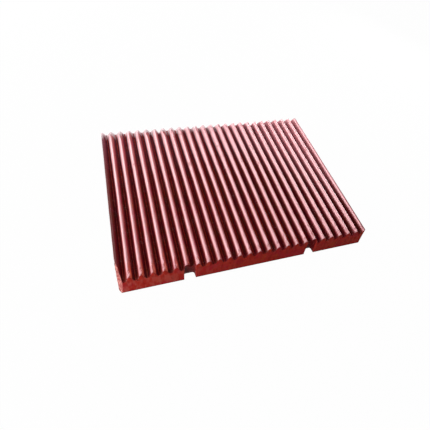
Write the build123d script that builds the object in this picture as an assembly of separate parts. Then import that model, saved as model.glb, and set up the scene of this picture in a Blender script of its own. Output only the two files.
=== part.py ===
"""Crusher jaw plate: one manganese steel casting with straight teeth on its working face.

The plate lies on its back. X runs across the teeth, Y runs along them and Z points up
from the back face to the crests. The origin is the middle of the back face.
"""
from build123d import *
import os
from math import asin, atan2, cos, degrees, hypot, radians, sin, tan

# Driving sizes in millimetres
tooth_pitch = 39.0          # from one crest line to the next
gap_count = 25              # valleys across the plate, with half a tooth at each side
tooth_height = 22.0         # from the valley bottom to the crest
crest_radius = 7.5          # rounding along each crest
valley_radius = 4.5         # rounding along each valley
side_land = 3.0             # from the outer crest line to the side face
side_round = 2.5            # rounding of the long edges beside the teeth

plate_length = 705.0        # along the teeth, at the height of the crests
plate_thickness = 76.0      # from the back face to the crests
end_lean = 20.0             # how much further each end reaches at the back face
corner_radius = 4.0         # upright corners where a side meets an end

notch_spacing = 489.0       # between the centres of the two notches of one end
notch_width = 43.0          # at its mouth, on the back face
notch_taper = 5.0           # degrees on each wall, narrower inwards
notch_inset = 4.0           # depth of a notch at the height of the crests
notch_corner_radius = 8.0
notch_mouth_round = 2.0     # rounding where a wall meets the end of the plate

relief_depth = 5.0          # shallow pockets that leave bearing strips on the back
relief_end_strip = 90.0     # strip along each end, from its lower edge
relief_side_strip = 80.0    # strip along each side
relief_middle_strip = 110.0
relief_corner_radius = 25.0

cast_round = 3.0            # rounding of the outer edges of the back face
tooth_end_chamfer = 1.5     # broken edge of the teeth where they end

main_break_along_end = 21.0     # near left corner, broken off: at the crests
main_break_along_side = 34.0
main_break_foot_along_end = 9.5  # the same break, at the back face
crest_break_along_end = 30.0    # second face of the break, along the first tooth
crest_break_along_side = 68.0
crest_break_down = 42.0         # below the crests, at the upright corner

# Sizes that follow
toothed_width = gap_count * tooth_pitch
plate_width = toothed_width + 2 * side_land
back_length = plate_length + 2 * end_lean
first_crest = -toothed_width / 2
crest_centre_z = plate_thickness - crest_radius
valley_centre_z = plate_thickness - tooth_height + valley_radius


def flank_angle():
    """Slope of a flank that touches a crest arc and the next valley arc, in degrees."""
    across = tooth_pitch / 2
    down = crest_centre_z - valley_centre_z
    centre_line = atan2(down, across)
    return degrees(centre_line + asin((crest_radius + valley_radius) / hypot(across, down)))


def tooth_outline():
    """Closed outline of the plate's cross section, in X and Z."""
    slope = flank_angle()
    run = sin(radians(slope))
    rise = cos(radians(slope))
    half_width = plate_width / 2

    def crest_end(centre_x, side):
        return (centre_x + side * crest_radius * run, crest_centre_z + crest_radius * rise)

    def valley_end(centre_x, side):
        return (centre_x + side * valley_radius * run, valley_centre_z - valley_radius * rise)

    with BuildLine() as outline:
        Polyline(
            (first_crest, plate_thickness),
            (-half_width, plate_thickness),
            (-half_width, 0),
            (half_width, 0),
            (half_width, plate_thickness),
            (-first_crest, plate_thickness),
        )
        CenterArc((first_crest, crest_centre_z), crest_radius, 90, -slope)
        for gap in range(gap_count):
            left_crest = first_crest + gap * tooth_pitch
            right_crest = left_crest + tooth_pitch
            valley = (left_crest + right_crest) / 2
            Line(crest_end(left_crest, 1), valley_end(valley, -1))
            CenterArc((valley, valley_centre_z), valley_radius, 270 - slope, 2 * slope)
            Line(valley_end(valley, 1), crest_end(right_crest, -1))
            last = gap == gap_count - 1
            CenterArc((right_crest, crest_centre_z), crest_radius, 90 + slope,
                      -slope if last else -2 * slope)
    return outline.line


def toothed_bar():
    """The cross section drawn out past both ends."""
    with BuildPart() as bar:
        with BuildSketch(Plane.XZ):
            add(tooth_outline())
            make_face()
        extrude(amount=back_length, both=True)
    return bar.part


def plate_block():
    """Envelope with leaning ends, rounded corners and rounded edges round the back."""
    half_top = plate_length / 2
    half_back = back_length / 2
    with BuildPart() as block:
        with BuildSketch(Plane.YZ):
            with BuildLine():
                Polyline((-half_back, 0), (half_back, 0), (half_top, plate_thickness),
                         (-half_top, plate_thickness), close=True)
            make_face()
        extrude(amount=plate_width / 2, both=True)
        upright = [edge for edge in block.edges().filter_by(Axis.X, reverse=True)
                   if abs(edge.tangent_at(0.5).Z) > 0.5]
        fillet(upright, corner_radius)
        fillet(block.faces().sort_by(Axis.Z)[0].edges(), cast_round)
    return block.part


def notch(end, side):
    """Cutter for one notch: a slot from back to front in one end, narrower inwards."""
    inner_y = plate_length / 2 - notch_inset
    mouth_y = back_length / 2
    outer_y = mouth_y + notch_corner_radius
    taper = tan(radians(notch_taper))
    inner_half = notch_width / 2 - (mouth_y - inner_y) * taper
    outer_half = notch_width / 2 + (outer_y - mouth_y) * taper
    middle = side * notch_spacing / 2
    with BuildPart() as cutter:
        with BuildSketch(Plane.XY) as slot:
            with BuildLine():
                Polyline(
                    (middle - outer_half, end * outer_y),
                    (middle - inner_half, end * inner_y),
                    (middle + inner_half, end * inner_y),
                    (middle + outer_half, end * outer_y),
                    close=True,
                )
            make_face()
            inner_corners = [v for v in slot.vertices() if abs(v.Y) < plate_length / 2]
            fillet(inner_corners, notch_corner_radius)
        extrude(amount=plate_thickness)
    return cutter.part


def mouth_rounding(end, side, wall):
    """Cutter that rounds the edge where one wall of a notch meets the end of the plate."""
    taper = tan(radians(notch_taper))
    middle = side * notch_spacing / 2
    foot = Vector(middle + wall * notch_width / 2, end * back_length / 2, 0)
    head = Vector(middle + wall * (notch_width / 2 - end_lean * taper),
                  end * plate_length / 2, plate_thickness)
    upwards = (head - foot).normalized()
    on_wall = Vector(-wall * taper, -end, 0)
    on_wall = (on_wall - upwards * on_wall.dot(upwards)).normalized()
    on_end = Vector(wall, 0, 0)
    on_end = (on_end - upwards * on_end.dot(upwards)).normalized()
    half_angle = radians(on_wall.get_angle(on_end) / 2)
    reach = notch_mouth_round / tan(half_angle)
    centre = (on_wall + on_end).normalized() * (notch_mouth_round / sin(half_angle))
    across = Plane(origin=foot, x_dir=on_end, z_dir=upwards)

    def place(step):
        return across.to_local_coords(foot + step)

    with BuildPart() as cutter:
        with BuildSketch(across):
            with BuildLine():
                Polyline(place(on_wall * reach), place(centre), place(on_end * reach),
                         place(-centre), close=True)
            make_face()
            with Locations(place(centre)):
                Circle(notch_mouth_round, mode=Mode.SUBTRACT)
        extrude(amount=2 * plate_thickness, both=True)
    return cutter.part


def relief_pocket(end):
    """Cutter for one shallow pocket in the back face."""
    inner_y = relief_middle_strip / 2
    outer_y = back_length / 2 - relief_end_strip
    pocket_width = plate_width - 2 * relief_side_strip
    with BuildPart() as cutter:
        with BuildSketch(Plane.XY):
            with Locations((0, end * (inner_y + outer_y) / 2)):
                RectangleRounded(pocket_width, outer_y - inner_y, relief_corner_radius)
        extrude(amount=relief_depth, taper=45)
    return cutter.part


def side_rounding(side):
    """Cutter that rounds the long edge beside the teeth."""
    corner_x = side * plate_width / 2
    centre_x = corner_x - side * side_round
    centre_z = plate_thickness - side_round
    with BuildPart() as cutter:
        with BuildSketch(Plane.XZ):
            with Locations(((corner_x + centre_x) / 2, centre_z + side_round / 2)):
                Rectangle(side_round, side_round)
            with Locations((centre_x, centre_z)):
                Circle(side_round, mode=Mode.SUBTRACT)
        extrude(amount=back_length, both=True)
    return cutter.part


def beyond_plane(on_end, on_side, below):
    """Cutter for what a plane through three points of the near left corner cuts off."""
    start = Vector(*on_end)
    along = Vector(*on_side) - start
    outwards = along.cross(Vector(*below) - start)
    reach = 2 * (plate_thickness + crest_break_along_side)
    box = Box(reach, reach, reach, align=(Align.CENTER, Align.CENTER, Align.MIN))
    return Plane(origin=start, x_dir=along, z_dir=outwards) * box


def broken_corner():
    """The two faces of the break, each as a cutter."""
    side_x = -plate_width / 2
    end_y = -plate_length / 2
    back_end_y = -back_length / 2
    main_break = beyond_plane(
        (side_x + main_break_along_end, end_y, plate_thickness),
        (side_x, end_y + main_break_along_side, plate_thickness),
        (side_x + main_break_foot_along_end, back_end_y, 0),
    )
    crest_break = beyond_plane(
        (side_x + crest_break_along_end, end_y, plate_thickness),
        (side_x, end_y + crest_break_along_side, plate_thickness),
        (side_x, end_y, plate_thickness - crest_break_down),
    )
    return [main_break, crest_break]


def tooth_end_edges(plate):
    """Edges of the two ends that follow the outline of the teeth."""
    lowest = plate_thickness - tooth_height - tooth_end_chamfer
    edges = []
    for face in plate.faces():
        if abs(face.normal_at().Y) > 0.9:
            edges += [edge for edge in face.edges() if edge.center().Z > lowest]
    return edges


def jaw_plate():
    plate = toothed_bar() & plate_block()
    plate = plate.chamfer(tooth_end_chamfer, None, tooth_end_edges(plate))
    for side in (-1, 1):
        plate -= side_rounding(side)
    for cutter in broken_corner():
        plate -= cutter
    for end in (-1, 1):
        for side in (-1, 1):
            plate -= notch(end, side)
            for wall in (-1, 1):
                plate -= mouth_rounding(end, side, wall)
    for end in (-1, 1):
        plate -= relief_pocket(end)
    return plate


os.makedirs("parts", exist_ok=True)
plate = jaw_plate()
plate.label = "jaw_plate"
export_step(plate, "parts/jaw_plate.step")
print("flank angle", round(flank_angle(), 2), "width", plate_width, "back length", back_length)
print("solids", len(plate.solids()), "volume", round(plate.volume), "valid", plate.is_valid)
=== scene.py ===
from math import ceil, cos, pi, radians, sin

import bmesh
import bpy
from mathutils import Matrix, Vector, noise


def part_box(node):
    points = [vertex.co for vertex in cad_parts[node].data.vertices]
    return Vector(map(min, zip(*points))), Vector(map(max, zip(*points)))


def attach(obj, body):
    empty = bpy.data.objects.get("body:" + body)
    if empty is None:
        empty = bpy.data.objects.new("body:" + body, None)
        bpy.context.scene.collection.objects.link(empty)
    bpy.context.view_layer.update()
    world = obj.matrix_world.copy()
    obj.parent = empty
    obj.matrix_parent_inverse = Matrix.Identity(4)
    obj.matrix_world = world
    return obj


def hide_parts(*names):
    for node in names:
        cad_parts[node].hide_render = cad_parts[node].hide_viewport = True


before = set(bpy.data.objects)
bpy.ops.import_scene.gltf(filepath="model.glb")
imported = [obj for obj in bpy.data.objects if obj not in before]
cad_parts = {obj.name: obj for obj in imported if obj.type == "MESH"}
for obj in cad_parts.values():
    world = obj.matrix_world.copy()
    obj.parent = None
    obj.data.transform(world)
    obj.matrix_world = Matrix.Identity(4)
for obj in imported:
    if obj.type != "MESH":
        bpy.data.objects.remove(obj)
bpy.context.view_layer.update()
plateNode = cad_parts["jaw_plate"]
plateLow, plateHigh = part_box("jaw_plate")

# sizes in metres, angles in degrees

teeth = {
    "pitch": 0.039,
    "height": 0.022,
    "count": 25,                 # valleys between the two outer crests
}
firstCrest = -teeth["count"] * teeth["pitch"] / 2

casting = {
    "rowLength": 0.0165,         # spacing of the rows of faces along the teeth
    "flankStrip": 0.0042,        # width of the faces along the middle of each flank
    "plainFace": 0.016,          # face size on the sides, the ends and the back
    "brokenFace": 0.0045,        # and on the broken corner
    "waviness": 0.0011,          # slow unevenness left by the mould
    "wavinessSize": 0.085,
    "lumps": 0.0004,             # small lumps and hollows
    "lumpSize": 0.048,
    "lumpShift": (31, 7, 3),     # keeps the lumps from following the waves
    "flatBelow": 0.001,          # nothing is uneven under this height, so the plate lies flat
    "flatFade": 0.004,           # height over which the unevenness then grows
    "breakRoughness": 0.0022,
    "breakGrain": 0.011,
    "breakFineness": 2.3,        # of a second grain in the first
    "smoothAngle": 50,           # sharper edges than this stay crisp
}

zones = {                        # what tells the toothed and the broken faces from the plain ones
    "footMargin": 0.0005,        # below the valleys
    "toothUpward": 0.3,
    "breakReach": 0.11,          # how far from the near left corner the broken faces go
    "breakLeftward": -0.6,
    "breakForward": -0.25,
}
toothFoot = plateHigh.z - teeth["height"] - zones["footMargin"]
brokenCorner = Vector((plateLow.x, plateLow.y, plateHigh.z))


def isBroken(centre, normal):
    near = (centre - brokenCorner).length < zones["breakReach"]
    return near and normal.x < zones["breakLeftward"] and normal.y < zones["breakForward"]


def isToothed(centre, normal):
    upward = normal.z > zones["toothUpward"]
    return centre.z > toothFoot and upward and not isBroken(centre, normal)


def isPlain(centre, normal):
    return not isToothed(centre, normal)


def facesWhere(bm, test):
    return [face for face in bm.faces if test(face.calc_center_median(), face.normal)]


def withEdges(faces):
    edges = dict.fromkeys(edge for face in faces for edge in face.edges)
    verts = dict.fromkeys(vert for face in faces for vert in face.verts)
    return list(verts) + list(edges) + list(faces)


def cutAcross(bm, geom, normal, places):
    for place in places:
        cut = bmesh.ops.bisect_plane(bm, geom=geom, plane_co=normal * place, plane_no=normal)
        geom = cut["geom"]
    return geom


def evenCuts(low, high, width):
    count = ceil((high - low) / width)
    return [low + (high - low) * cut / count for cut in range(1, count)]


def flankCuts():
    places = []
    for flank in range(teeth["count"] * 2):
        middle = firstCrest + (flank + 0.5) * teeth["pitch"] / 2
        places += [middle + side * casting["flankStrip"] for side in (-0.5, 0.5)]
    return places


def cutIntoFaces(bm):
    across, along, upward = Vector((1, 0, 0)), Vector((0, 1, 0)), Vector((0, 0, 1))
    cutAcross(bm, withEdges(facesWhere(bm, isToothed)), across, flankCuts())
    size = casting["plainFace"]
    plain = withEdges(facesWhere(bm, isPlain))
    plain = cutAcross(bm, plain, across, evenCuts(plateLow.x, plateHigh.x, size))
    cutAcross(bm, plain, upward, evenCuts(plateLow.z, plateHigh.z, size))
    everything = bm.verts[:] + bm.edges[:] + bm.faces[:]
    cutAcross(bm, everything, along, evenCuts(plateLow.y, plateHigh.y, casting["rowLength"]))
    size = casting["brokenFace"]
    breakCuts = evenCuts(plateLow.y, plateLow.y + zones["breakReach"], size)
    cutAcross(bm, withEdges(facesWhere(bm, isBroken)), along, breakCuts)
    cutAcross(bm, withEdges(facesWhere(bm, isBroken)), upward, evenCuts(plateLow.z, plateHigh.z, size))


def unevenness(point, broken):
    slow = noise.noise(point / casting["wavinessSize"])
    small = noise.noise(point / casting["lumpSize"] + Vector(casting["lumpShift"]))
    depth = casting["waviness"] * (0.5 + 0.5 * slow) + casting["lumps"] * (0.5 + 0.5 * small)
    if broken:
        coarse = noise.noise(point / casting["breakGrain"])
        fine = noise.noise(point * casting["breakFineness"] / casting["breakGrain"])
        depth += casting["breakRoughness"] * (0.5 + 0.4 * coarse + 0.2 * fine)
    height = point.z - plateLow.z
    return depth * min(1, max(0, (height - casting["flatBelow"]) / casting["flatFade"]))


def buildCasting():
    bm = bmesh.new()
    bm.from_mesh(plateNode.data)
    bmesh.ops.remove_doubles(bm, verts=bm.verts, dist=1e-6)
    bmesh.ops.join_triangles(bm, faces=bm.faces, angle_face_threshold=radians(0.5),
                             angle_shape_threshold=radians(180))
    print("casting outline", len(bm.faces), "faces")
    cutIntoFaces(bm)
    print("faces cut", len(bm.faces))

    bm.normal_update()
    rough = {vert for face in facesWhere(bm, isBroken) for vert in face.verts}
    for vert in bm.verts:
        vert.co -= vert.normal * unevenness(vert.co, vert in rough)
    bmesh.ops.triangulate(bm, faces=[face for face in bm.faces if len(face.verts) > 4])
    mesh = bpy.data.meshes.new("casting")
    bm.to_mesh(mesh)
    bm.free()
    plate = bpy.data.objects.new("casting", mesh)
    bpy.context.scene.collection.objects.link(plate)
    mesh.shade_smooth()
    mesh.set_sharp_from_angle(angle=radians(casting["smoothAngle"]))
    print("casting triangles", sum(len(face.vertices) - 2 for face in mesh.polygons))
    return plate


def dressCasting(plate, toothMaterial, bodyMaterial, breakMaterial):
    for material in (toothMaterial, bodyMaterial, breakMaterial):
        plate.data.materials.append(material)
    for face in plate.data.polygons:
        if isBroken(face.center, face.normal):
            face.material_index = 2
        else:
            face.material_index = 0 if isToothed(face.center, face.normal) else 1


# node helpers

def newGroup(name, inputs, outputs):
    tree = bpy.data.node_groups.new(name, "ShaderNodeTree")
    for label, value in inputs.items():
        kind = "NodeSocketColor" if isinstance(value, tuple) else "NodeSocketFloat"
        socket = tree.interface.new_socket(name=label, in_out="INPUT", socket_type=kind)
        socket.default_value = value
    for label, kind in outputs.items():
        tree.interface.new_socket(name=label, in_out="OUTPUT", socket_type="NodeSocket" + kind)
    given = tree.nodes.new("NodeGroupInput").outputs
    result = tree.nodes.new("NodeGroupOutput").inputs
    return tree, given, result


def setSocket(tree, socket, value):
    if isinstance(value, bpy.types.NodeSocket):
        tree.links.new(value, socket)
    else:
        socket.default_value = value


def placeGroup(tree, group, values):
    node = tree.nodes.new("ShaderNodeGroup")
    node.node_tree = group
    for label, value in values.items():
        setSocket(tree, node.inputs[label], value)
    return node.outputs


def objectPlace(tree):
    return tree.nodes.new("ShaderNodeTexCoord").outputs["Object"]


def surfaceNormal(tree):
    return tree.nodes.new("ShaderNodeNewGeometry").outputs["Normal"]


def addAxis(tree, vector, axis):
    split = tree.nodes.new("ShaderNodeSeparateXYZ")
    tree.links.new(vector, split.inputs["Vector"])
    return split.outputs[axis]


def addNoise(tree, place, size, detail=3.0, stretch=None, shift=0.0):
    if stretch or shift:
        mapping = tree.nodes.new("ShaderNodeMapping")
        mapping.inputs["Scale"].default_value = stretch or (1, 1, 1)
        mapping.inputs["Location"].default_value = (shift, shift, shift)
        tree.links.new(place, mapping.inputs["Vector"])
        place = mapping.outputs["Vector"]
    noiseNode = tree.nodes.new("ShaderNodeTexNoise")
    noiseNode.inputs["Scale"].default_value = 1 / size
    noiseNode.inputs["Detail"].default_value = detail
    tree.links.new(place, noiseNode.inputs["Vector"])
    return noiseNode.outputs["Fac"]


def addRange(tree, value, start, end, low=0.0, high=1.0):
    ramp = tree.nodes.new("ShaderNodeMapRange")
    ramp.interpolation_type = "SMOOTHSTEP"
    for label, number in (("Value", value), ("From Min", start), ("From Max", end),
                          ("To Min", low), ("To Max", high)):
        setSocket(tree, ramp.inputs[label], number)
    return ramp.outputs["Result"]


def addPatches(tree, place, noiseLook, limits):
    return addRange(tree, addNoise(tree, place, **noiseLook), *limits)


def addMath(tree, operation, first, second=0.0):
    node = tree.nodes.new("ShaderNodeMath")
    node.operation = operation
    setSocket(tree, node.inputs[0], first)
    setSocket(tree, node.inputs[1], second)
    return node.outputs["Value"]


def addProduct(tree, result, *factors):
    for factor in factors:
        result = addMath(tree, "MULTIPLY", result, factor)
    return result


def addSum(tree, first, second):
    return addMath(tree, "ADD", first, second)


def addDifference(tree, first, second):
    return addMath(tree, "SUBTRACT", first, second)


def addLarger(tree, first, second):
    return addMath(tree, "MAXIMUM", first, second)


def addMix(tree, mask, first, second):
    mix = tree.nodes.new("ShaderNodeMix")
    mix.data_type = "RGBA"
    sockets = {item.identifier: item for item in mix.inputs}
    for identifier, value in (("Factor_Float", mask), ("A_Color", first), ("B_Color", second)):
        setSocket(tree, sockets[identifier], value)
    return {item.identifier: item for item in mix.outputs}["Result_Color"]


# effects that more than one finish uses: a noise is given by its look, a border by where it starts and ends

castSkinLook = {
    "grain": {"size": 0.0013, "detail": 2.0},
    "sand": {"size": 0.0052, "detail": 4.0},
    "pits": {"size": 0.0085, "detail": 2.0, "shift": 3.1},
    "pitEdge": (0.36, 0.28),
    "hollowEdge": (0.56, 0.38),
}


def buildCastSkin():
    look = castSkinLook
    tree, given, result = newGroup(
        "castSkin", {"Grain Depth": 0.0, "Sand Depth": 0.0, "Pit Depth": 0.0},
        {"Normal": "Vector", "Hollow": "Float"})
    place = objectPlace(tree)
    grain = addNoise(tree, place, **look["grain"])
    sand = addNoise(tree, place, **look["sand"])
    pit = addPatches(tree, place, look["pits"], look["pitEdge"])
    height = addSum(tree, addProduct(tree, grain, given["Grain Depth"]),
                    addProduct(tree, sand, given["Sand Depth"]))
    height = addDifference(tree, height, addProduct(tree, pit, given["Pit Depth"]))
    bump = tree.nodes.new("ShaderNodeBump")
    bump.inputs["Distance"].default_value = 1.0
    tree.links.new(height, bump.inputs["Height"])
    tree.links.new(bump.outputs["Normal"], result["Normal"])
    tree.links.new(addRange(tree, sand, *look["hollowEdge"]), result["Hollow"])
    return tree


paintPatches = {                 # of other tones in the main one, each over the one before
    "Crimson": ({"size": 0.060}, (0.48, 0.66)),
    "Brown": ({"size": 0.038, "detail": 4.0, "shift": 5.7}, (0.53, 0.70)),
    "Deep": ({"size": 0.017, "shift": 2.3}, (0.55, 0.75)),
}


def buildPaintTone():
    tones = dict.fromkeys(("Main", *paintPatches), (1, 1, 1, 1))
    tree, given, result = newGroup("paintTone", tones, {"Color": "Color"})
    place = objectPlace(tree)
    colour = given["Main"]
    for label, (patches, patchEdge) in paintPatches.items():
        colour = addMix(tree, addPatches(tree, place, patches, patchEdge), colour, given[label])
    tree.links.new(colour, result["Color"])
    return tree


edgeRubLook = {
    "samples": 4,
    "edge": (0.985, 0.88),       # how far the rounded normal turns from the true one
    "gaps": {"size": 0.009, "detail": 4.0},
    "gapEdge": (0.36, 0.60),
}


def buildEdgeRub():
    look = edgeRubLook
    tree, given, result = newGroup("edgeRub", {"Width": 0.0, "Amount": 1.0}, {"Mask": "Float"})
    bevel = tree.nodes.new("ShaderNodeBevel")
    bevel.samples = look["samples"]
    tree.links.new(given["Width"], bevel.inputs["Radius"])
    dot = tree.nodes.new("ShaderNodeVectorMath")
    dot.operation = "DOT_PRODUCT"
    tree.links.new(bevel.outputs["Normal"], dot.inputs[0])
    tree.links.new(surfaceNormal(tree), dot.inputs[1])
    edge = addRange(tree, dot.outputs["Value"], *look["edge"])
    kept = addPatches(tree, objectPlace(tree), look["gaps"], look["gapEdge"])
    tree.links.new(addProduct(tree, edge, kept, given["Amount"]), result["Mask"])
    return tree


dustSpecksLook = {
    "speckEdge": (0.34, 0.16),   # share of a cell
    "gathered": {"size": 0.030, "shift": 9.3},
    "gatheredEdge": (0.50, 0.68),
}


def buildDustSpecks():
    look = dustSpecksLook
    tree, given, result = newGroup("dustSpecks", {"Cells": 1.0, "Amount": 1.0}, {"Mask": "Float"})
    place = objectPlace(tree)
    cells = tree.nodes.new("ShaderNodeTexVoronoi")
    tree.links.new(place, cells.inputs["Vector"])
    tree.links.new(given["Cells"], cells.inputs["Scale"])
    speck = addRange(tree, cells.outputs["Distance"], *look["speckEdge"])
    gathered = addPatches(tree, place, look["gathered"], look["gatheredEdge"])
    tree.links.new(addProduct(tree, speck, gathered, given["Amount"]), result["Mask"])
    return tree


castSkin = buildCastSkin()
paintTone = buildPaintTone()
edgeRub = buildEdgeRub()
dustSpecks = buildDustSpecks()


def newMaterial(name):
    material = bpy.data.materials.new(name)
    material.use_nodes = True
    tree = material.node_tree
    return material, tree, tree.nodes["Principled BSDF"].inputs


# a third and fourth number in a border are the values at its start and end, in place of 0 and 1

toothFinish = {
    "skin": {"Grain Depth": 0.00003, "Sand Depth": 0.00009, "Pit Depth": 0.00012},
    "tone": {"Main": (0.34, 0.040, 0.040, 1), "Crimson": (0.34, 0.022, 0.042, 1),
             "Brown": (0.36, 0.055, 0.030, 1), "Deep": (0.24, 0.018, 0.022, 1)},
    "edge": {"Width": 0.0016, "Amount": 0.25},
    "specks": {"Cells": 240.0, "Amount": 0.3},   # cells to the metre
    "wander": {"size": 0.024, "stretch": (1, 0.35, 1)},     # makes the borders of the painted shade, the painted highlight and the other marks waver

    "valleyShade": (0.135, 0.003, 0.008, 1),            # painted shade: the valleys darkened below the crests
    "valleyShadeBrown": (0.120, 0.010, 0.006, 1),
    "valleyShadeFar": (0.160, 0.026, 0.044, 1),
    "valleyShadePale": (0.420, 0.155, 0.180, 1),        # the painted valley shade made paler towards the far right, where light reaches further into the valleys
    "valleyShadeDepth": (0.0060, 0.0125),               # below the crests
    "valleyShadePatches": {"size": 0.030, "shift": 1.7},
    "valleyShadePatchEdge": (0.42, 0.60),
    "valleyShadeFarFrom": (0.02, 0.36),
    "valleyShadePaleFrom": (0.18, 0.78),                # distances to the right and to the far end, added up

    "crestHighlight": (0.86, 0.45, 0.48, 1),              # painted highlight along the crests, brightest on their left side, which faces the key lamp
    "crestHighlightRight": (0.58, 0.19, 0.22, 1),
    "highlightTurn": (-0.15, 0.75),                  # how far a flank faces right
    "highlightTurnShift": (-0.10, 0.40, 0.0, 0.7),   # which matters less towards the right
    "highlightDepth": (0.0100, 0.0030),                # below the crests
    "highlightWander": 0.0035,
    "rightSlant": 0.9,                           # the painted highlight reaches less far down the right flanks near the left
    "rightShift": (0.05, 0.50, 0.0042, -0.0050),
    "farShift": (-0.10, 0.36, 0.0, 0.0115),      # and further down the left flanks towards the far end
    "farShiftAcross": (0.35, 0.0, -0.1, 1.0),
    "highlightGaps": {"size": 0.022, "stretch": (1, 0.45, 1), "shift": 4.4},
    "highlightGapEdge": (0.74, 0.62, 0.45, 1.0),
    "outerLeft": (-0.474, -0.479),               # beyond these the outer crests get the painted shade all over and no highlight
    "outerRight": (0.4815, 0.4865),

    "tip": (0.62, 0.085, 0.045, 1),              # brighter orange on the right shoulders at the near tips of the left teeth
    "tipAlong": (-0.285, -0.345),
    "tipAcross": (-0.20, -0.32),
    "tipWander": 0.12,
    "tipTurn": (0.0, 0.4),
    "tipDepth": (0.011, 0.007),
    "tipShift": 0.0060,                          # how much shorter the painted highlight is there

    # the dust colour serves the real dust specks and the painted light at the far ends of the left valleys
    "dust": (0.62, 0.46, 0.48, 1),
    "farLightAlong": (0.318, 0.345),                # painted light at the far ends of the left valleys, in the dust colour
    "farLightAcross": (0.20, -0.20),
    "farLightWander": 0.10,

    "roughness": (0.0, 1.0, 0.30, 0.60),         # from bare paint to full painted valley shade
    "coatDepth": (0.014, 0.006),
    "coatTurn": (0.1, 0.8, 0.45, 0.12),
    "coatRoughness": 0.33,
    "coatIndex": 1.6,
    "specular": 0.10,
}


# colour of the painted valley shade: brown patches, purpler towards the far end, paler towards the far right
def addValleyShadeTone(tree, finish, place, x, y):
    brown = addPatches(tree, place, finish["valleyShadePatches"], finish["valleyShadePatchEdge"])
    colour = addMix(tree, brown, finish["valleyShade"], finish["valleyShadeBrown"])
    colour = addMix(tree, addRange(tree, y, *finish["valleyShadeFarFrom"]), colour, finish["valleyShadeFar"])
    pale = addRange(tree, addSum(tree, x, y), *finish["valleyShadePaleFrom"])
    return addMix(tree, pale, colour, finish["valleyShadePale"])


# how far down the flanks the painted highlight reaches
def addHighlightReach(tree, finish, depth, facing, tip, x, y):
    turned = addSum(tree, facing, 1.0)
    across = addSum(tree, x, addProduct(tree, y, finish["rightSlant"]))
    rightShift = addProduct(tree, turned, addRange(tree, across, *finish["rightShift"]))
    leftward = addLarger(tree, addProduct(tree, facing, -1.0), 0.0)
    farShift = addProduct(tree, addRange(tree, y, *finish["farShift"]),
                          addRange(tree, x, *finish["farShiftAcross"]))
    reach = addSum(tree, depth, rightShift)
    reach = addDifference(tree, reach, addProduct(tree, leftward, farShift))
    return addSum(tree, reach, addProduct(tree, tip, turned, finish["tipShift"]))


def buildToothPaint():
    finish = toothFinish
    material, tree, shader = newMaterial("toothPaint")
    place = objectPlace(tree)
    x, y, z = (addAxis(tree, place, axis) for axis in "XYZ")
    facing = addAxis(tree, surfaceNormal(tree), "X")
    skin = placeGroup(tree, castSkin, finish["skin"])
    tone = placeGroup(tree, paintTone, finish["tone"])
    edge = placeGroup(tree, edgeRub, finish["edge"])
    specks = placeGroup(tree, dustSpecks, finish["specks"])
    wander = addDifference(tree, addNoise(tree, place, **finish["wander"]), 0.5)
    depth = addSum(tree, addDifference(tree, plateHigh.z, z), addProduct(tree, wander, finish["highlightWander"]))

    # painted shade over the valleys below the crests and over the outer crests
    outerShade = addLarger(tree, addRange(tree, x, *finish["outerLeft"]), addRange(tree, x, *finish["outerRight"]))
    valleyShade = addLarger(tree, addRange(tree, depth, *finish["valleyShadeDepth"]), outerShade)
    colour = addMix(tree, valleyShade, tone["Color"], addValleyShadeTone(tree, finish, place, x, y))

    tipAlong = addSum(tree, y, addProduct(tree, wander, finish["tipWander"]))
    tip = addProduct(tree, addRange(tree, tipAlong, *finish["tipAlong"]),
                     addRange(tree, x, *finish["tipAcross"]))
    tipShoulder = addProduct(tree, addRange(tree, facing, *finish["tipTurn"]),
                       addRange(tree, depth, *finish["tipDepth"]))
    colour = addMix(tree, addProduct(tree, tip, tipShoulder), colour, finish["tip"])

    # painted highlight along the crests, with gaps; worn edges take the same colour
    reach = addHighlightReach(tree, finish, depth, facing, tip, x, y)
    highlightMask = addProduct(tree, addRange(tree, reach, *finish["highlightDepth"]),
                     addPatches(tree, place, finish["highlightGaps"], finish["highlightGapEdge"]),
                     addDifference(tree, 1.0, outerShade))
    turn = addDifference(tree, facing, addRange(tree, x, *finish["highlightTurnShift"]))
    crestHighlight = addMix(tree, addRange(tree, turn, *finish["highlightTurn"]), finish["crestHighlight"], finish["crestHighlightRight"])
    colour = addMix(tree, addLarger(tree, highlightMask, edge["Mask"]), colour, crestHighlight)

    # painted light where light enters the far ends of the left valleys; the real dust specks share its colour
    farLightAlong = addSum(tree, y, addProduct(tree, wander, finish["farLightWander"]))
    farValleyLight = addProduct(tree, addRange(tree, farLightAlong, *finish["farLightAlong"]),
                       addRange(tree, x, *finish["farLightAcross"]))
    colour = addMix(tree, addLarger(tree, specks["Mask"], farValleyLight), colour, finish["dust"])

    coat = addProduct(tree, addRange(tree, depth, *finish["coatDepth"]),
                      addRange(tree, facing, *finish["coatTurn"]))
    setSocket(tree, shader["Base Color"], colour)
    setSocket(tree, shader["Roughness"], addRange(tree, valleyShade, *finish["roughness"]))
    setSocket(tree, shader["Coat Weight"], coat)
    shader["Coat Roughness"].default_value = finish["coatRoughness"]
    shader["Coat IOR"].default_value = finish["coatIndex"]
    shader["Specular IOR Level"].default_value = finish["specular"]
    setSocket(tree, shader["Normal"], skin["Normal"])
    return material


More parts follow.
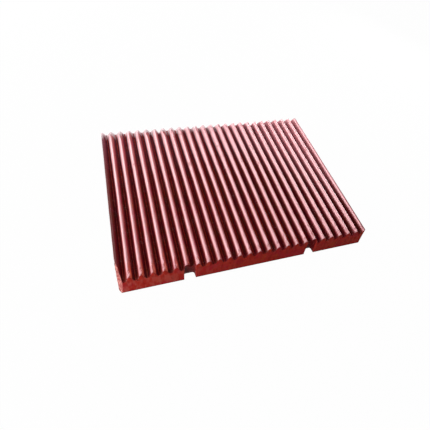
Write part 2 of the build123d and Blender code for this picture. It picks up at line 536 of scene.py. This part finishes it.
bodyFinish = {
    "skin": {"Grain Depth": 0.00007, "Sand Depth": 0.00028, "Pit Depth": 0.0004},
    "tone": {"Main": (0.43, 0.027, 0.017, 1), "Crimson": (0.42, 0.018, 0.025, 1),
             "Brown": (0.43, 0.042, 0.017, 1), "Deep": (0.31, 0.014, 0.012, 1)},
    "edge": {"Width": 0.0022, "Amount": 0.55},
    "specks": {"Cells": 200.0, "Amount": 0.3},
    "rubbed": (0.55, 0.15, 0.14, 1),
    "dust": (0.42, 0.20, 0.18, 1),

    "streak": (0.25, 0.012, 0.009, 1),
    "streaks": {"size": 0.010, "stretch": (1, 1, 0.12)},
    "streakEdge": (0.50, 0.68, 0.0, 0.55),

    "scuffAndLeftLight": (0.56, 0.15, 0.12, 1),              # paler scuffed patches, gathered on the left half as painted light
    "scuffs": {"size": 0.013, "detail": 4.0, "stretch": (1, 1, 0.3), "shift": 7.9},
    "scuffEdge": (0.40, 0.66),
    "leftLightAcross": (0.0, -0.46, 0.04, 0.36),

    "footShade": (0.12, 0.008, 0.006, 1),             # painted shade: a dark band along the lower edges, which also darkens the back face
    "footShadeHeight": (0.0065, 0.0015, 0.0, 0.8),

    "notchShade": (0.12, 0.005, 0.007, 1),            # painted shade inside the notches
    "notchShadeIn": (0.002, 0.009, 0.0, 0.9),         # how far in from the end of the plate
    "notchShadeUpright": (0.6, 0.4),
    "notchShadeAcross": (0.295, 0.285),
    "endAtCrest": 0.3525,                        # half the length of the plate at the height of the crests

    "roughness": (0.0, 1.0, 0.38, 0.62),         # from the raised sand to the hollows
    "specular": 0.015,
}


# where the painted shade inside the notches lies
def addNotchShadeMask(tree, finish, x, y, z):
    lean = (plateHigh.y - finish["endAtCrest"]) / (plateHigh.z - plateLow.z)
    outward = addSum(tree, addMath(tree, "ABSOLUTE", y), addProduct(tree, z, lean))
    inward = addDifference(tree, plateHigh.y, outward)
    upright = addMath(tree, "ABSOLUTE", addAxis(tree, surfaceNormal(tree), "Z"))
    return addProduct(tree, addRange(tree, inward, *finish["notchShadeIn"]),
                      addRange(tree, upright, *finish["notchShadeUpright"]),
                      addRange(tree, addMath(tree, "ABSOLUTE", x), *finish["notchShadeAcross"]))


def buildBodyPaint():
    finish = bodyFinish
    material, tree, shader = newMaterial("bodyPaint")
    place = objectPlace(tree)
    x, y, z = (addAxis(tree, place, axis) for axis in "XYZ")
    skin = placeGroup(tree, castSkin, finish["skin"])
    tone = placeGroup(tree, paintTone, finish["tone"])
    edge = placeGroup(tree, edgeRub, finish["edge"])
    specks = placeGroup(tree, dustSpecks, finish["specks"])
    # scuffs, with more of them on the left half as painted light
    scuffAndLeftLight = addProduct(tree, addPatches(tree, place, finish["scuffs"], finish["scuffEdge"]),
                       addRange(tree, x, *finish["leftLightAcross"]))
    layers = (
        ("streak", addPatches(tree, place, finish["streaks"], finish["streakEdge"])),
        ("scuffAndLeftLight", scuffAndLeftLight),
        # painted shade along the lower edges
        ("footShade", addRange(tree, z, *finish["footShadeHeight"])),
        ("notchShade", addNotchShadeMask(tree, finish, x, y, z)),
        ("rubbed", edge["Mask"]),
        ("dust", specks["Mask"]),
    )
    colour = tone["Color"]
    for name, mask in layers:
        colour = addMix(tree, mask, colour, finish[name])
    setSocket(tree, shader["Base Color"], colour)
    setSocket(tree, shader["Roughness"], addRange(tree, skin["Hollow"], *finish["roughness"]))
    shader["Specular IOR Level"].default_value = finish["specular"]
    setSocket(tree, shader["Normal"], skin["Normal"])
    return material


breakFinish = {
    "skin": {"Grain Depth": 0.00012, "Sand Depth": 0.0008, "Pit Depth": 0.0008},
    "pale": (0.66, 0.26, 0.22, 1),
    "hollow": (0.34, 0.062, 0.055, 1),
    "ridges": {"size": 0.009, "detail": 4.0, "stretch": (1.6, 1.6, 0.5)},
    "ridgeEdge": (0.47, 0.63),
    "roughness": (0.0, 1.0, 0.45, 0.7),
    "specular": 0.4,
}


def buildBreakPaint():
    finish = breakFinish
    material, tree, shader = newMaterial("breakPaint")
    skin = placeGroup(tree, castSkin, finish["skin"])
    ridges = addPatches(tree, objectPlace(tree), finish["ridges"], finish["ridgeEdge"])
    setSocket(tree, shader["Base Color"], addMix(tree, ridges, finish["hollow"], finish["pale"]))
    setSocket(tree, shader["Roughness"], addRange(tree, skin["Hollow"], *finish["roughness"]))
    shader["Specular IOR Level"].default_value = finish["specular"]
    setSocket(tree, shader["Normal"], skin["Normal"])
    return material


view = {
    "place": (-0.3949, -0.7402, 0.9983),
    "azimuth": 26.945,           # from +Y towards +X
    "elevation": 55.174,         # how far it looks down
    "roll": 13.579,
    "lens": 24.272,              # in millimetres, as is the sensor
    "sensor": 36,
}


def buildCamera():
    camera = bpy.data.cameras.new("camera")
    camera.lens = view["lens"]
    camera.sensor_width = view["sensor"]
    cameraObject = bpy.data.objects.new("camera", camera)
    bpy.context.scene.collection.objects.link(cameraObject)
    turn = (Matrix.Rotation(-radians(view["azimuth"]), 4, "Z")
            @ Matrix.Rotation(radians(90 - view["elevation"]), 4, "X")
            @ Matrix.Rotation(radians(view["roll"]), 4, "Z"))
    cameraObject.matrix_world = Matrix.Translation(view["place"]) @ turn
    bpy.context.scene.camera = cameraObject


lamps = {                        # azimuth from +Y towards +X, elevation, distance, width, height, radiance
    "keyLeft": (311, 19, 3.2, 2.9, 1.1, 11.5),
    "back": (350, 14, 3.2, 0.9, 0.9, 11.0),
    "backRight": (62, 22, 2.4, 1.7, 1.5, 6.5),
    "fillFront": (236, 8, 2.0, 1.2, 0.40, 13.0),
    "overhead": (110, 62, 2.0, 0.9, 0.9, 1.2),
}


def buildLamps():
    middle = Vector((0, 0, plateHigh.z))
    for name, (azimuth, elevation, distance, width, height, radiance) in lamps.items():
        away = Vector((sin(radians(azimuth)) * cos(radians(elevation)),
                       cos(radians(azimuth)) * cos(radians(elevation)), sin(radians(elevation))))
        lamp = bpy.data.lights.new(name, "AREA")
        lamp.shape = "RECTANGLE"
        lamp.size = width
        lamp.size_y = height
        lamp.energy = radiance * pi * width * height
        lampObject = bpy.data.objects.new(name, lamp)
        lampObject.location = middle + away * distance
        lampObject.rotation_euler = away.to_track_quat("Z", "Y").to_euler()
        bpy.context.scene.collection.objects.link(lampObject)


stage = {
    "floorSize": 30,
    "floorGap": 0.0005,          # keeps the floor clear of the back face
    "floorTone": 0.45,           # what the floor throws back at the plate
    "seenWhite": 0.985,          # share of plain white in the seen floor, the rest takes the shadow
    "surround": 0.12,            # soft light from all round
}


def seenDirectly(tree):
    path = tree.nodes.new("ShaderNodeLightPath").outputs
    seen = addLarger(tree, path["Is Camera Ray"], path["Is Glossy Ray"])
    return addLarger(tree, seen, path["Is Transmission Ray"])


def buildFloor():
    height = plateLow.z - stage["floorGap"]
    bpy.ops.mesh.primitive_plane_add(size=stage["floorSize"], location=(0, 0, height))
    floor = bpy.context.object
    floor.name = "floor"
    material, tree, shader = newMaterial("floorWhite")
    tone = stage["floorTone"]
    shader["Base Color"].default_value = (tone, tone, tone, 1)
    shader["Specular IOR Level"].default_value = 0
    shader["Roughness"].default_value = 1
    white = tree.nodes.new("ShaderNodeEmission")
    blend = tree.nodes.new("ShaderNodeMixShader")
    setSocket(tree, blend.inputs["Fac"], addProduct(tree, seenDirectly(tree), stage["seenWhite"]))
    tree.links.new(tree.nodes["Principled BSDF"].outputs["BSDF"], blend.inputs[1])
    tree.links.new(white.outputs["Emission"], blend.inputs[2])
    tree.links.new(blend.outputs["Shader"], tree.nodes["Material Output"].inputs["Surface"])
    floor.data.materials.append(material)


def buildWorld():
    world = bpy.data.worlds.new("world")
    world.use_nodes = True
    tree = world.node_tree
    background = tree.nodes["Background"].inputs
    background["Color"].default_value = (1, 1, 1, 1)
    strength = addRange(tree, seenDirectly(tree), 0.0, 1.0, stage["surround"], 1.0)
    setSocket(tree, background["Strength"], strength)
    bpy.context.scene.world = world


buildCamera()
plate = buildCasting()
dressCasting(plate, buildToothPaint(), buildBodyPaint(), buildBreakPaint())
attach(plate, "root")
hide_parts("jaw_plate")
print("casting dressed")
buildLamps()
buildFloor()
buildWorld()
bpy.context.scene.view_settings.view_transform = "Standard"
print("lamps and floor set")
